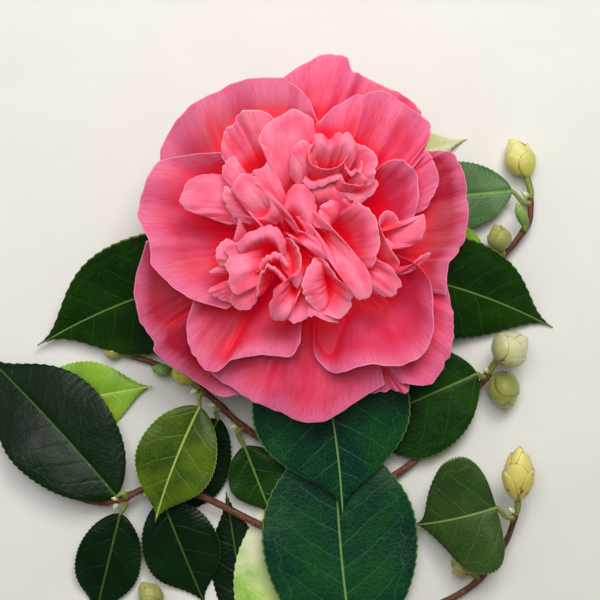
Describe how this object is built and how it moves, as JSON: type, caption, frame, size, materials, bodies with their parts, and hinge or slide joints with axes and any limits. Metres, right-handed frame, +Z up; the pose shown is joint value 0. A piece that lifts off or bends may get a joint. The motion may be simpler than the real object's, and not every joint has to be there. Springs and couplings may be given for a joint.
{
  "type": "cut camellia flowering sprig",
  "caption": "Cut flowering sprig of a camellia, lying face up: woody stem with side twigs, broad glossy leaves, plump buds and one large peony-form bloom.",
  "frame": {"origin": "middle of the bounding box's underside, on the surface that the sprig lies on", "axes": "+Z up, the way the bloom faces; -Y along the stem towards its cut end; +X to the right as seen from above with the bloom at the top"},
  "size_m": [0.2067, 0.2746, 0.0738],
  "materials": {
    "bark": "matt reddish-brown bark with small pale pores",
    "leaf": "glossy leathery green leaf with paler veins and a finely toothed edge",
    "leaf_pale": "satin pale green leaf, young or sunlit, with fine veins",
    "bud": "satin yellow-green overlapping scales with brown tips",
    "calyx": "satin yellow-green sepals in rings",
    "petal": "soft velvety rose pink with fine veins, pale rims and deep red throats"
  },
  "bodies": {
    "root": {"stem_main": "bark", "twig_left_mid": "bark", "twig_left_bud": "bark", "twig_left_low": "bark", "twig_right_up": "bark", "twig_right_low": "bark", "twig_right_bottom": "bark", "twig_bottom_left": "bark", "leaf_under_bloom": "leaf", "leaf_foot_large": "leaf", "leaf_foot_pale": "leaf_pale", "leaf_strip": "leaf", "leaf_left_mid": "leaf", "leaf_left_mid_back": "leaf", "leaf_left_low": "leaf", "leaf_left_low_dark": "leaf", "leaf_left_foot": "leaf", "leaf_left_wide": "leaf", "leaf_right_wide": "leaf", "leaf_right_low": "leaf", "leaf_right_foot": "leaf", "leaf_right_up": "leaf", "leaf_right_small": "leaf_pale", "leaf_top_right": "leaf_pale", "leaf_left_sunlit": "leaf_pale", "leaf_foot_dark": "leaf", "bud_cream": "bud", "bud_pear": "bud", "bud_scarred": "bud", "bud_olive": "bud", "bud_sepalled": "bud", "bud_leafy": "bud", "bud_low_right": "bud", "bud_low_left": "bud", "bud_yellow": "bud", "bract_green": "bud", "bud_left_olive": "bud", "calyx": "calyx", "bloom": "petal"}
  },
  "joints": []
}
